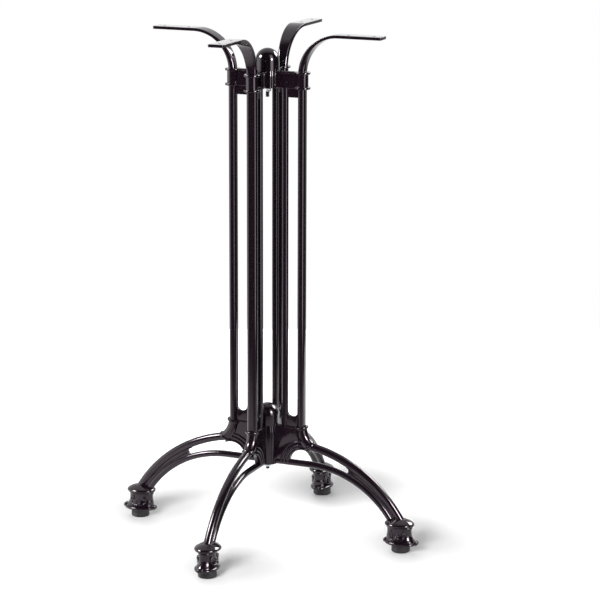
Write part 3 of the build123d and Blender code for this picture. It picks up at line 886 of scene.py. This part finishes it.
class TABLE_LEG_OT_castings(bpy.types.Operator):
    """Build the four cast branches as closed shells joined to one mesh each"""

    bl_idname = "table_leg.castings"
    bl_label = "Cast branches"

    def execute(self, context):
        scene = context.scene
        size, foot = scene.table_leg_branch, scene.table_leg_foot
        glide_low, glide_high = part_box("glide_right")
        foot_reach = (glide_low.x + glide_high.x) / 2
        level = {"top": CAD_HIGH.z}
        for hub in HUBS:
            level[f"{hub}_low"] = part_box(f"{hub}_washer")[1].z
            level[f"{hub}_high"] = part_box(f"{hub}_dome_nut")[0].z
        level["post"] = level["lower_high"] - OVERLAP
        elbow_start = (size.post_offset, level["lower_high"])
        elbow_end = (size.post_offset + size.elbow_reach, level["lower_high"] - size.elbow_drop)
        elbow = tangent_arc(elbow_start, elbow_end, -pi / 2, 24)
        joined = post_shells(size, level)
        joined += hub_shells(size, level, elbow)
        joined += leg_shells(size, foot, level, elbow, foot_reach)
        joined += foot_shells(foot, foot_reach, glide_high.z)
        cut = bore_shells(size, foot, level, foot_reach, glide_high.z)
        mesh = fused_mesh("casting_right", joined, cut)
        paint = finish("gloss_black_paint", scene.table_leg_looks)
        meshes = [mesh] + [turned_mesh(mesh, f"casting_{side}", n) for n, side in enumerate(SIDES[1:], 1)]
        for side, casting in zip(SIDES, meshes):
            dressed(casting, paint, f"leg_{side}")
        return {"FINISHED"}


class TABLE_LEG_OT_dome_nuts(bpy.types.Operator):
    """Turn the dome nuts: a straight wall, a round cap, a recess and a blind bore"""

    bl_idname = "table_leg.dome_nuts"
    bl_label = "Dome nuts"

    def execute(self, context):
        scene = context.scene
        sizes = scene.table_leg_hardware
        paint = finish("gloss_black_paint", scene.table_leg_looks)
        bore, recess = sizes.dome_bore, sizes.recess_radius
        edge = 0.0008
        lip, cap = np.linspace(0.0, pi / 2, 5), np.linspace(0.0, pi / 2 - 0.02, 36)
        for hub in HUBS:
            low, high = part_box(f"{hub}_dome_nut")
            radius, tall = (high.x - low.x) / 2, high.z - low.z
            rows = np.concatenate(
                (
                    [(AXIS_GAP, sizes.dome_bore_top), (bore, sizes.dome_bore_top)],
                    [(bore, sizes.recess_depth), (recess, sizes.recess_depth), (recess, 0.0)],
                    np.column_stack((radius - edge + edge * np.sin(lip), edge - edge * np.cos(lip))),
                    np.column_stack((radius * np.cos(cap), tall - radius + radius * np.sin(cap))),
                )
            )
            mesh = mesh_of(f"dome_nut_{hub}", *lathe(rows, (0.0, 0.0, low.z)), CREASE)
            dressed(mesh, paint, f"{hub}_dome_nut")
        return {"FINISHED"}


class TABLE_LEG_OT_studs(bpy.types.Operator):
    """Cut the studs: a round bar with a helical thread on both ends"""

    bl_idname = "table_leg.studs"
    bl_label = "Threaded studs"

    def execute(self, context):
        scene = context.scene
        sizes = scene.table_leg_hardware
        steel = finish("blackened_steel", scene.table_leg_looks)
        for hub in HUBS:
            low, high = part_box(f"{hub}_stud")
            mesh = mesh_of(f"stud_{hub}", *self.thread(low, high, sizes), THREAD_CREASE)
            dressed(mesh, steel, f"{hub}_stud")
        return {"FINISHED"}

    def thread(self, low, high, sizes):
        """Radius R - d (1 - |2 frac(z / p - turn) - 1|) on the threads, R between them, cones at the ends."""
        radius = (high.x - low.x) / 2
        step = sizes.thread_pitch / 8
        run = sizes.thread_run
        lower = np.arange(low.z, low.z + run, step)
        upper = np.arange(high.z - run, high.z, step)
        z = np.concatenate((lower, [low.z + run, high.z - run - step], upper, [high.z]))[:, None]
        turn = np.linspace(0.0, 1.0, 32, endpoint=False)
        wave = np.abs(2.0 * ((z / sizes.thread_pitch - turn) % 1.0) - 1.0)
        end = np.minimum(z - low.z, high.z - z)
        fade = np.clip((run - end) / (2 * step), 0.0, 1.0)
        bar = radius - sizes.thread_depth * fade * (1.0 - wave)
        bar = np.minimum(bar, radius - STUD_CONE + end)
        angle = 2.0 * pi * turn
        return shell(spots(bar * np.cos(angle), bar * np.sin(angle), z))


class TABLE_LEG_OT_clamp_nuts(bpy.types.Operator):
    """Form the hexagon nuts and washers under the hubs"""

    bl_idname = "table_leg.clamp_nuts"
    bl_label = "Nuts and washers"

    def execute(self, context):
        scene = context.scene
        sizes = scene.table_leg_hardware
        zinc = finish("bright_zinc", scene.table_leg_looks)
        bore, edge = scene.table_leg_branch.bore_radius, 0.0003
        for hub in HUBS:
            nut = mesh_of(f"nut_{hub}", *self.hexagon(*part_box(f"{hub}_nut"), sizes), NUT_CREASE)
            dressed(nut, zinc, f"{hub}_nut")
            low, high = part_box(f"{hub}_washer")
            outer, tall = (high.x - low.x) / 2, high.z - low.z
            rows = [(bore, 0.0), (outer - edge, 0.0), (outer, edge)]
            rows += [(outer, tall - edge), (outer - edge, tall), (bore, tall)]
            washer = mesh_of(f"washer_{hub}", *lathe(rows, (0.0, 0.0, low.z), cap="loop"), CREASE)
            dressed(washer, zinc, f"{hub}_washer")
        return {"FINISHED"}

    def hexagon(self, low, high, sizes):
        """Wall at the lesser of h / cos(turn within a flat) and a cone that breaks the corners."""
        apothem = sizes.across_flats / 2
        corner = apothem / cos(pi / 6)
        tall = high.z - low.z
        level = np.array((0.0, 0.0, 0.05, 0.1, 0.15, 0.85, 0.9, 0.95, 1.0, 1.0))[:, None] * tall
        turn = turns(96)
        flat = apothem / np.cos((turn + pi / 6) % (pi / 3) - pi / 6)
        cone = 0.97 * apothem + 1.8 * np.minimum(level, tall - level)
        wall = np.minimum(np.minimum(flat, corner), cone)
        wall[[0, -1]] = sizes.dome_bore
        return shell(spots(wall * np.cos(turn), wall * np.sin(turn), low.z + level), "loop")


class TABLE_LEG_OT_glides(bpy.types.Operator):
    """Mould the glides with lip and grooves, and finish their pins"""

    bl_idname = "table_leg.glides"
    bl_label = "Glides"

    def execute(self, context):
        scene = context.scene
        sizes = scene.table_leg_hardware
        black, zinc = (finish(name, scene.table_leg_looks) for name in ("moulded_black", "bright_zinc"))
        edge, hole = sizes.glide_edge, GLIDE_BORE
        turn = np.linspace(-pi / 2, 0.0, 9)
        for side in SIDES:
            low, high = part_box(f"glide_{side}")
            pin_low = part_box(f"glide_pin_{side}")[0]
            centre = ((low.x + high.x) / 2, (low.y + high.y) / 2, 0.0)
            radius, tall = (high.x - low.x) / 2, high.z
            wall = radius - sizes.glide_lip
            z = np.linspace(edge + 0.0006, tall - 0.0032, 34)
            groove = sizes.glide_groove * np.clip(1.6 * np.cos(2.0 * pi * z / GROOVE_PITCH) - 0.6, 0.0, 1.0)
            rows = np.concatenate(
                (
                    [(AXIS_GAP, 0.0)],
                    np.column_stack((wall - edge + edge * np.cos(turn), edge + edge * np.sin(turn))),
                    np.column_stack((wall - groove, z)),
                    [(wall, tall - 0.003), (radius - 0.0002, tall - 0.0021), (radius, tall - 0.0018)],
                    [(radius, tall - 0.0004), (radius - 0.0004, tall), (hole, tall)],
                    [(hole, pin_low.z), (AXIS_GAP, pin_low.z)],
                )
            )
            mesh = mesh_of(f"glide_disc_{side}", *lathe(rows, centre), CREASE)
            dressed(mesh, black, f"glide_{side}")
            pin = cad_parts[f"glide_pin_{side}"]
            pin.data.materials.clear()
            pin.data.materials.append(zinc)
        return {"FINISHED"}


# Name, turn and rise in degrees, distance and size in metres, watts, and whether seen in diffuse and in gloss
LAMPS = (
    ("card_left", (-58.0, 33.0), 3.2, (1.2, 0.9), 150.0, False, True),
    ("card_right", (65.0, 16.0), 2.6, (0.6, 0.8), 75.0, False, True),
    ("card_rim", (146.0, 34.0), 3.4, (1.8, 1.3), 150.0, False, True),
    ("back_wall", (203.8, 9.0), 12.0, (11.0, 1.05), 22.0, True, True),
    ("front_fill", (-1.0, 21.0), 3.0, (1.3, 1.0), 116.0, True, False),
    ("back_fill", (212.0, 36.0), 3.0, (2.4, 1.6), 42.0, True, False),
)
LAMP_AIM = Vector((0.0, 0.0, 0.55))  # what the lamps look at
FLOOR_DROP = 0.0002  # floor under the glides
FLOOR_CELLS = 9  # points along each side of the floor
# painted shadows: the floor's glow dips round each foot, at a spot shifted this far to the back right
PAINTED_SHADOW_SHIFT = 0.065  # how far the shadows lie from their feet


class TABLE_LEG_OT_studio(bpy.types.Operator):
    """Set the pale floor, the lamps, the world and the camera"""

    bl_idname = "table_leg.studio"
    bl_label = "Studio"

    def execute(self, context):
        scene = context.scene
        studio = scene.table_leg_studio
        scene.view_settings.view_transform = "Standard"
        self.floor(scene, studio)
        self.world(scene, studio)
        for row in LAMPS:
            self.lamp(scene, *row)
        self.camera(scene, studio)
        return {"FINISHED"}

    def floor(self, scene, studio):
        """Level floor that faces the camera; it keeps the lamps' shadows, has painted shadows where its glow
        dips by the feet, and fades to white away from them.
        """
        across = np.linspace(-studio.floor_half, studio.floor_half, FLOOR_CELLS)
        along = np.linspace(-studio.floor_front, studio.floor_back, FLOOR_CELLS)
        u, v = np.meshgrid(across, along, indexing="ij")
        turn = studio.camera_turn
        reach = sum(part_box("glide_right")[side].x for side in (0, 1)) / 2
        x, y = u * cos(turn) - v * sin(turn), u * sin(turn) + v * cos(turn)
        number = np.arange(FLOOR_CELLS**2).reshape(FLOOR_CELLS, FLOOR_CELLS)
        corners = (number[:-1, :-1], number[1:, :-1], number[1:, 1:], number[:-1, 1:])
        quads = np.stack(corners, -1).reshape(-1, 4)
        mesh = mesh_of("floor", spots(x, y, -FLOOR_DROP).reshape(-1, 3), [quads])
        floor = bpy.data.objects.new("floor", mesh)
        scene.collection.objects.link(floor)
        material = bpy.data.materials.new("pale_paper")
        nodes = Nodes(material)
        place = nodes.place()
        # painted shade in reflections: for glossy rays the floor's colour and glow fade darker towards the
        # camera
        front = nodes.blend(nodes.toward(place, turn), 1.0, 0.05, 0.1, 1.1)
        painted_reflection_shade = nodes.calc("MAXIMUM", front, nodes.calc("SUBTRACT", 1.0, nodes.ray("Glossy")))
        # painted shadows: the glow is low within 0.06 m of the shifted spot by each foot and full from 0.19 m
        drift = turn + radians(152.0)
        shift = (PAINTED_SHADOW_SHIFT * sin(drift), -PAINTED_SHADOW_SHIFT * cos(drift), 0.0)
        feet = ((reach, 0.0, 0.0), (0.0, reach, 0.0))
        near = nodes.blend(
            nodes.calc("MINIMUM", *(nodes.apart(place, foot, shift) for foot in feet)), 0.05, 0.45, 0.06, 0.19
        )
        far = nodes.blend(nodes.apart(place, (0.0, 0.0, 0.0)), 0.0, 0.6, 0.45, 1.1)
        lift = nodes.calc("MULTIPLY", nodes.calc("ADD", near, far), painted_reflection_shade)
        nodes.shade(
            Base_Color=nodes.tint(painted_reflection_shade, (0.0, 0.0, 0.0), scene.table_leg_looks.floor),
            Roughness=nodes.blend(nodes.noise(place, 300.0, 3.0), 0.85, 0.95, *NOISE_RANGE),
            Specular_IOR_Level=0.1,
            Emission_Color=WHITE,
            Emission_Strength=nodes.calc("MULTIPLY", lift, nodes.shown_rays()),
        )
        mesh.materials.append(material)

    def world(self, scene, studio):
        """World: white for the camera and even light for the rest, but a room for gloss.

        The room is white behind and over the piece and dim before it, with a lit wall on the left, an upright
        strip on the right and pale ground behind it on the right.
        """
        world = bpy.data.worlds.new("studio_world")
        scene.world = world
        nodes = Nodes(world, "Background")
        ray = nodes.place("Generated")
        turn = studio.camera_turn
        room = nodes.blend(nodes.toward(ray, turn + pi, radians(37.0)), 0.06, 1.0, 0.36, 0.62)
        wall = nodes.blend(nodes.toward(ray, turn - radians(95.0)), 0.0, 2.2, 0.8, 0.97)
        strip = turn + radians(43.0)
        ahead = nodes.blend(nodes.toward(ray, strip), 0.0, 4.2, 0.6, 0.85)
        beside = nodes.calc("ABSOLUTE", nodes.toward(ray, strip + pi / 2))
        upright = nodes.blend(beside, ahead, 0.0, 0.12, 0.3)
        back_right = nodes.toward(ray, turn + radians(150.0), radians(-40.0))
        ground = nodes.blend(back_right, 0.0, 0.9, 0.86, 0.94)
        for part in (wall, upright, ground):
            room = nodes.calc("ADD", room, part)
        light = nodes.blend(nodes.shown_rays(), 0.22, room)
        nodes.shade(Color=WHITE, Strength=nodes.blend(nodes.ray("Camera"), light, 1.0))

    def lamp(self, scene, name, place, distance, size, power, diffuse, gloss):
        """Area lamp that looks at the middle of the column from a turn and a rise."""
        way = Vector(direction(radians(place[0]), radians(place[1])))
        light = bpy.data.lights.new(name, "AREA")
        light.shape = "RECTANGLE"
        light.size, light.size_y = size
        light.energy = power
        lamp = bpy.data.objects.new(name, light)
        lamp.location = LAMP_AIM + distance * way
        lamp.rotation_euler = (-way).to_track_quat("-Z", "Y").to_euler()
        lamp.visible_camera = False
        lamp.visible_diffuse, lamp.visible_glossy = diffuse, gloss
        scene.collection.objects.link(lamp)

    def camera(self, scene, studio):
        """Camera at the turn, distance and height of the photograph, looking down by the pitch."""
        turn, look = studio.camera_turn, studio.camera_turn + studio.camera_yaw
        pitch = studio.camera_pitch
        ahead = Vector((-sin(look) * cos(pitch), cos(look) * cos(pitch), -sin(pitch)))
        right = Vector((cos(look), sin(look), 0.0))
        up = right.cross(ahead)
        roll = studio.camera_roll
        right, up = cos(roll) * right + sin(roll) * up, cos(roll) * up - sin(roll) * right
        away = studio.camera_distance
        data = bpy.data.cameras.new("camera")
        data.lens = studio.lens
        data.sensor_width = 36.0
        data.clip_end = 100.0
        camera = bpy.data.objects.new("camera", data)
        turned = Matrix((right, up, -ahead)).transposed().to_4x4()
        turned.translation = (away * sin(turn), -away * cos(turn), studio.camera_height)
        camera.matrix_world = turned
        scene.collection.objects.link(camera)
        scene.camera = camera


class TABLE_LEG_PT_panel(bpy.types.Panel):
    """Lists the steps that build the table leg"""

    bl_idname = "TABLE_LEG_PT_panel"
    bl_label = "Table leg"
    bl_space_type = "VIEW_3D"
    bl_region_type = "UI"
    bl_category = "Table leg"

    def draw(self, context):
        for operator in OPERATORS:
            self.layout.operator(operator.bl_idname)


OPERATORS = (
    TABLE_LEG_OT_castings,
    TABLE_LEG_OT_dome_nuts,
    TABLE_LEG_OT_studs,
    TABLE_LEG_OT_clamp_nuts,
    TABLE_LEG_OT_glides,
    TABLE_LEG_OT_studio,
)
GROUPS = {
    "table_leg_branch": BranchSizes,
    "table_leg_foot": FootSizes,
    "table_leg_hardware": HardwareSizes,
    "table_leg_looks": FinishLooks,
    "table_leg_studio": StudioSettings,
}


def register():
    """Register the property groups, the operators and the panel."""
    for name, group in GROUPS.items():
        bpy.utils.register_class(group)
        setattr(bpy.types.Scene, name, PointerProperty(type=group))
    for operator in OPERATORS:
        bpy.utils.register_class(operator)
    bpy.utils.register_class(TABLE_LEG_PT_panel)


def unregister():
    """Take the panel, the operators and the property groups away again."""
    bpy.utils.unregister_class(TABLE_LEG_PT_panel)
    for operator in reversed(OPERATORS):
        bpy.utils.unregister_class(operator)
    for name, group in GROUPS.items():
        delattr(bpy.types.Scene, name)
        bpy.utils.unregister_class(group)


def main():
    """Build every piece and the studio."""
    register()
    bpy.ops.table_leg.castings()
    bpy.ops.table_leg.dome_nuts()
    bpy.ops.table_leg.studs()
    bpy.ops.table_leg.clamp_nuts()
    bpy.ops.table_leg.glides()
    bpy.ops.table_leg.studio()
    bpy.context.view_layer.update()


if __name__ == "__main__":
    main()
